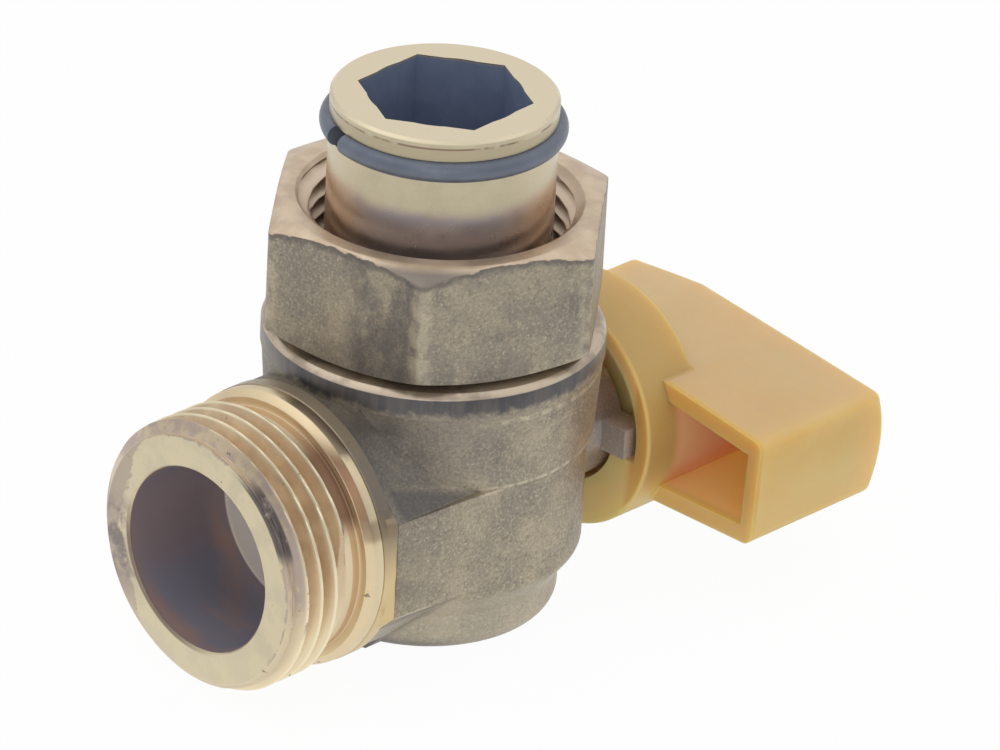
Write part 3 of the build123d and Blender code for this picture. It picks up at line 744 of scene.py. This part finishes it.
def handle_plastic():
    """Satin yellow moulding with painted light on the end of the lever and a deep orange painted glow in its
    thin-walled pocket, with faint smudges.
    """
    s = Shade("handle_plastic")
    colour = s.mix(s.ramp(s.noise(6.0, 3.0), 0.35, 0.65), srgb(224, 184, 112), srgb(228, 190, 122))
    colour = s.tint(colour, srgb(186, 156, 100), s.ramp(s.noise(3.5, 4.0), 0.62, 0.74), 0.14)
    up = s.above_axis()
    c, d = math.cos(math.radians(LEVER_DROOP)), math.sin(math.radians(LEVER_DROOP))
    across = s.math("ADD", s.math("MULTIPLY", s.y, c), s.math("MULTIPLY", up, d))
    high = s.math("SUBTRACT", s.math("MULTIPLY", up, c), s.math("MULTIPLY", s.y, d))
    r = s.about_x()
    rim = s.all_of(s.ramp(r, HUB_R - 0.4, HUB_R - 0.1), s.ramp(r, HUB_R + 0.5, HUB_R + 0.2),
                   s.ramp(s.x, HUB_BACK + 0.1, HUB_BACK - 0.1))
    lever = s.math("SUBTRACT", 1.0, rim)
    top = s.all_of(s.ramp(high, 4.6, 6.0), s.ramp(s.x, LEVER_X + 0.3, LEVER_X + 0.9), lever)
    colour = s.tint(colour, srgb(210, 180, 136), top, 0.7)
    colour = hub_painted_light(s, colour, rim)
    # painted light from the floor on the end of the lever
    tip = s.all_of(s.ramp(across, LEVER_TIP + 0.8, LEVER_TIP + 0.1), s.ramp(high, 4.5, -3.0))
    colour = s.tint(colour, srgb(246, 204, 140), tip, 0.7)
    pocket = pocket_share(s, across, high)
    # painted orange glow of light coming through the pocket's thin walls
    orange = s.mix(s.ramp(high, -2.0, -3.5), srgb(255, 196, 148), srgb(255, 184, 140))
    colour = s.mix(pocket, colour, orange)
    edge = s.all_of(s.ramp(s.x, LEVER_X + 0.65, LEVER_X + 0.4),
                    s.ramp(across, LEVER_START, LEVER_START - 1.0), lever)
    colour = s.mix(edge, colour, s.mix(s.ramp(high, 0.0, -5.0), srgb(222, 176, 98), srgb(236, 194, 118)))
    hub = s.ramp(s.x, LEVER_X + 0.5, LEVER_X - 0.3)
    scatter = s.blend(hub, s.blend(pocket, 6.5 * MM, 18.0 * MM), 2.0 * MM)
    return s.done(Base_Color=colour, Roughness=s.ramp(s.noise(1.2), 0.3, 0.7, 0.42, 0.5),
                  Subsurface_Weight=0.8, Subsurface_Radius=(1.0, 0.55, 0.25), Subsurface_Scale=scatter,
                  Normal=s.bump(s.noise(0.25, 3.0), 0.1, 0.02))


def plain(name, dark, light, rough, metallic, grain):
    """Material for the hidden pieces: two tones, with fine grain."""
    s = Shade(name)
    colour = s.mix(s.ramp(s.noise(1.2, 3.0), 0.35, 0.65), dark, light)
    return s.done(Base_Color=colour, Roughness=s.ramp(s.noise(0.7), 0.3, 0.7, rough, rough + 0.12),
                  Metallic=metallic, Normal=s.bump(s.noise(grain, 2.0), 0.2, 0.02))


def neck_trimmer(low, high, keep):
    """Bar that rounds the neck between two heights, clear of the barrel."""
    bar = box_tool((NECK_X - 2, -NECK_SIDE, low), (NECK_END, NECK_SIDE, high))
    parts = [rod_tool(NECK_R, NECK_X - OVER, 0), rod_tool(keep, low - OVER, high + OVER, True)]
    return new_object("tool", cut_by(bar, parts))


def forged_body():
    """Forging with softened edges, without the turned collar and branch."""
    obj = solid_copy("forged_body", "valve_body")
    round_edges(obj, SOFT_EDGE, 22.0)
    branch = box_tool((-OUT, -OUT, -OUT), (NECK_X, OUT, OUT))
    stub = rod_tool(PLUG_R, NECK_X - OVER, PLUG_X)
    collar = box_tool((-OUT, -OUT, BAND_Z), (OUT, OUT, OUT))
    upper = neck_trimmer(AXIS + NECK_HIGH, OUT, LEDGE_R + 0.7)
    lower = neck_trimmer(-OVER, AXIS + NECK_LOW, FOOT_R + 0.2)
    return cut_by(obj, [branch, stub, collar, upper, lower])


def lever_handle():
    """Handle with slightly rounded edges."""
    obj = solid_copy("lever_handle", "handle")
    round_edges(obj, LEVER_EDGE, 35.0)
    return baked(obj)


def collar_outline(turn):
    """Turned band with a chamfered lip, alike all around."""
    return [(SOCKET_R, BAND_Z), (SOCKET_R, COLLAR_TOP), (COLLAR_R - 0.63, COLLAR_TOP),
            (COLLAR_R - 0.55, COLLAR_TOP - 0.03), (COLLAR_R - 0.05, COLLAR_TOP - 0.52),
            (COLLAR_R, COLLAR_TOP - 0.62), (COLLAR_R, BAND_Z)]


def neck_reach(turn):
    """Distance from the branch axis to the neck's side and slanted flats."""
    side = math.radians(90 - abs(math.degrees(turn) % 180 - 90))
    if side > math.pi / 4:
        return 0.0
    return min(NECK_HALF / math.cos(side), SLANT / math.cos(math.pi / 4 - side))


def branch_outline(turn):
    """Bore, face, thread, groove, shoulder and rim at one angle about the branch."""
    points = [(THROAT_R, PLUG_X), (THROAT_R, BORE_X), (BORE_R, BORE_X), (BORE_R, FACE_X + 0.12),
              (BORE_R + 0.12, FACE_X), (THREAD_R - CHAMFER_R - 0.05, FACE_X)]
    for x in steps(FACE_X + 0.02, RELIEF_X - 0.2, ROW):
        depth = thread_drop(x, turn - math.pi, FIRST_CREST, THREAD_TURNS)
        chamfer = THREAD_R - CHAMFER_R + (x - FACE_X) * CHAMFER_R / CHAMFER_X
        points.append((min(THREAD_R - depth, chamfer), x))
    points += [(RELIEF_R + 0.2, RELIEF_X), (RELIEF_R + 0.05, RELIEF_X + 0.15), (RELIEF_R, RELIEF_X + 0.3),
               (RELIEF_R, SHOULDER_X - 0.1), (RELIEF_R + 0.1, SHOULDER_X)]
    points += [(SHOULDER_R - CONE - 0.05, SHOULDER_X), (SHOULDER_R - 0.05, SHOULDER_X + CONE),
               (SHOULDER_R, SHOULDER_X + CONE + 0.1), (SHOULDER_R, RIM_X - 0.12),
               (SHOULDER_R - 0.12, RIM_X - 0.04), (SHOULDER_R - 0.12, RIM_X)]
    flared = max(RIM_R, neck_reach(turn) - 0.04)
    points += [(RIM_R - 0.08, RIM_X + 0.03), (RIM_R, RIM_X + 0.12), (RIM_R, NECK_X - FLARE), (flared, NECK_X),
               (PLUG_R, NECK_X), (PLUG_R, PLUG_X)]
    return points


def nut_outline(turn):
    """Foot, flat, chamfer, thread, relief and lip at one angle about the nut."""
    side = (math.degrees(turn) - NUT_TURN + 30) % 60 - 30
    corner = NUT_HALF / math.cos(math.radians(30)) - NUT_CORNER
    out = min(NUT_HALF / math.cos(math.radians(30 - abs(side))), corner)
    low = NUT_Z + (out - NUT_FOOT_R) * math.tan(math.radians(NUT_FOOT_SLOPE))
    high = NUT_TOP - (out - NUT_CROWN_R) * math.tan(math.radians(NUT_CROWN_SLOPE))
    points = [(NUT_FOOT_R - 0.05, NUT_Z), (NUT_FOOT_R + 0.05, NUT_Z + 0.03), (out - 0.08, low - 0.03),
              (out, low + 0.05)]
    points += [(out, low + (high - low) * i / NUT_ROWS) for i in range(1, NUT_ROWS)]
    points += [(out, high - 0.05), (out - 0.08, high + 0.02), (NUT_CROWN_R, NUT_TOP - 0.01),
               (NUT_CROWN_R - 0.08, NUT_TOP), (NUT_MOUTH_R + 0.05, NUT_TOP),
               (NUT_MOUTH_R - 0.05, NUT_TOP - 0.05)]
    for z in reversed(steps(NUT_Z + NUT_THREAD_Z, NUT_TOP - 0.1, ROW)):
        chamfer = NUT_MOUTH_R + z - NUT_TOP
        points.append((max(NUT_BORE_R + thread_drop(z, turn, NUT_TOP - 0.3), chamfer), z))
    lip_r = SPIGOT_R + NUT_LIP_GAP
    points += [(NUT_RELIEF_R, NUT_Z + NUT_RELIEF_Z), (NUT_RELIEF_R, NUT_Z + NUT_LIP_Z),
               (lip_r, NUT_Z + NUT_LIP_Z), (lip_r, NUT_Z)]
    return points


def nut_turns():
    """Column angles, closer together at the corners."""
    sides = [-30, -29.6, -29.2, -28.6, -27.5] + list(range(-26, 27, 2)) + [27.5, 28.6, 29.2, 29.6]
    return [math.radians(NUT_TURN + 30 + 60 * i + side) for i in range(6) for side in sides]


piece("forged_body", forged_body(), "valve", "valve_body", forged_brass(), 45.0)
piece("collar_band", turned("collar_band", even_turns(256), collar_outline), "valve", "valve_body",
      band_brass())
piece("threaded_branch", turned("threaded_branch", even_turns(288), branch_outline, "X"), "valve",
      "valve_body", branch_brass())
piece("threaded_nut", turned("threaded_nut", nut_turns(), nut_outline), "nut", "union_nut",
      nut_brass())
piece("lever_handle", lever_handle(), "rotor", "handle", handle_plastic())

steel = plain("screw_steel", srgb(160, 162, 164), srgb(172, 174, 176), 0.3, 1.0, 0.2)
rubber = plain("seal_rubber", srgb(34, 34, 36), srgb(46, 46, 48), 0.55, 0.0, 0.1)
waxy = plain("seat_ptfe", srgb(228, 228, 222), srgb(240, 240, 236), 0.45, 0.0, 0.3)
looks = {
    "union_spigot": spigot_brass(),
    "snap_ring": ring_steel(),
    "stem": stem_brass(),
    "ball": plain("ball_chrome", srgb(196, 198, 202), srgb(208, 210, 214), 0.08, 1.0, 0.3),
    "upper_seat": waxy,
    "lower_seat": waxy,
    "thrust_washer": waxy,
    "spigot_seal": rubber,
    "stem_seal_inner": rubber,
    "stem_seal_outer": rubber,
    "handle_screw": steel,
    "screw_washer": steel,
}
for node, material in looks.items():
    slots = nodes[node].data.materials
    slots.clear()
    slots.append(material)


def floor_material():
    """Dull pale floor that shows white where it is seen, and keeps a faint shadow."""
    mat = bpy.data.materials.new("floor")
    mat.use_nodes = True
    tree = mat.node_tree
    tree.nodes.remove(tree.nodes["Principled BSDF"])
    path = tree.nodes.new("ShaderNodeLightPath")
    seen = path.outputs["Is Camera Ray"]
    for other in ("Is Glossy Ray", "Is Transmission Ray"):
        more = tree.nodes.new("ShaderNodeMath")
        more.operation = "MAXIMUM"
        tree.links.new(seen, more.inputs[0])
        tree.links.new(path.outputs[other], more.inputs[1])
        seen = more.outputs[0]
    share = tree.nodes.new("ShaderNodeMath")
    share.operation = "MULTIPLY"
    share.inputs[1].default_value = FLOOR_WHITE
    tree.links.new(seen, share.inputs[0])
    dull = tree.nodes.new("ShaderNodeBsdfDiffuse")
    dull.inputs["Color"].default_value = (0.9, 0.9, 0.9, 1)
    glow = tree.nodes.new("ShaderNodeEmission")
    mixed = tree.nodes.new("ShaderNodeMixShader")
    tree.links.new(share.outputs[0], mixed.inputs[0])
    tree.links.new(dull.outputs[0], mixed.inputs[1])
    tree.links.new(glow.outputs[0], mixed.inputs[2])
    tree.links.new(mixed.outputs[0], tree.nodes["Material Output"].inputs["Surface"])
    return mat


def floor():
    """Plain pale floor under the foot."""
    corners = [(-1, -1), (1, -1), (1, 1), (-1, 1)]
    mesh = bpy.data.meshes.new("floor")
    mesh.from_pydata([(x * FLOOR_HALF, y * FLOOR_HALF, -FLOOR_DROP) for x, y in corners], [], [(0, 1, 2, 3)])
    mesh.materials.append(floor_material())
    new_object("floor", mesh)


def camera():
    """Long lens at the photograph's angle, turned slightly about its own axis."""
    around, up, roll = (math.radians(a) for a in (CAMERA_AROUND, CAMERA_UP, CAMERA_ROLL))
    back = Vector((math.sin(around) * math.cos(up), -math.cos(around) * math.cos(up), math.sin(up)))
    right = Vector((math.cos(around), math.sin(around), 0))
    above = back.cross(right)
    side = right * math.cos(roll) + above * math.sin(roll)
    top = above * math.cos(roll) - right * math.sin(roll)
    spot = back * CAMERA_AWAY + side * CAMERA_SIDE + top * CAMERA_LIFT + Vector((0, 0, AXIS))
    data = bpy.data.cameras.new("camera")
    data.lens = CAMERA_LENS
    data.sensor_width = 36.0
    data.clip_start = 0.05
    data.clip_end = 20.0
    obj = new_object("camera", data)
    obj.matrix_world = Matrix.Translation(spot * MM) @ Matrix((side, top, back)).transposed().to_4x4()
    bpy.context.scene.camera = obj
    return back


def lamp(name, spot, size, power, aim=(0, 0, 0.025)):
    """Square soft lamp that faces the object."""
    data = bpy.data.lights.new(name, "AREA")
    data.size = size
    data.energy = power
    obj = new_object(name, data)
    obj.location = spot
    obj.rotation_mode = "QUATERNION"
    obj.rotation_quaternion = (Vector(aim) - Vector(spot)).to_track_quat("-Z", "Y")


def studio(front):
    """Soft white surroundings, dimmer low down and on the front side, with two soft lamps."""
    world = bpy.data.worlds.new("studio")
    bpy.context.scene.world = world
    world.use_nodes = True
    tree = world.node_tree
    glow = tree.nodes["Background"]
    glow.inputs["Color"].default_value = (1, 1, 1, 1)
    way = tree.nodes.new("ShaderNodeTexCoord").outputs["Generated"]

    def facing(axis, low, high, start, end):
        """Soft step from start to end as a direction turns towards an axis."""
        dot = tree.nodes.new("ShaderNodeVectorMath")
        dot.operation = "DOT_PRODUCT"
        tree.links.new(way, dot.inputs[0])
        dot.inputs[1].default_value = axis
        span = tree.nodes.new("ShaderNodeMapRange")
        span.interpolation_type = "SMOOTHSTEP"
        tree.links.new(dot.outputs["Value"], span.inputs["Value"])
        for key, value in zip(("From Min", "From Max", "To Min", "To Max"), (low, high, start, end)):
            span.inputs[key].default_value = value
        return span.outputs[0]

    level = Vector((front.x, front.y, 0)).normalized()
    strength = tree.nodes.new("ShaderNodeMath")
    strength.operation = "MULTIPLY"
    tree.links.new(facing((0, 0, 1), -0.2, 0.9, 0.6, 1.0), strength.inputs[0])
    tree.links.new(facing(level, 0.1, 0.9, 1.0, 0.4), strength.inputs[1])
    tree.links.new(strength.outputs[0], glow.inputs["Strength"])
    lamp("soft_top", (-0.15, 0.1, 0.5), size=0.5, power=0.2)
    lamp("soft_front", (-0.386, -0.366, 0.276), size=0.4, power=0.65)


floor()
studio(camera())
bpy.context.scene.view_settings.view_transform = "Standard"
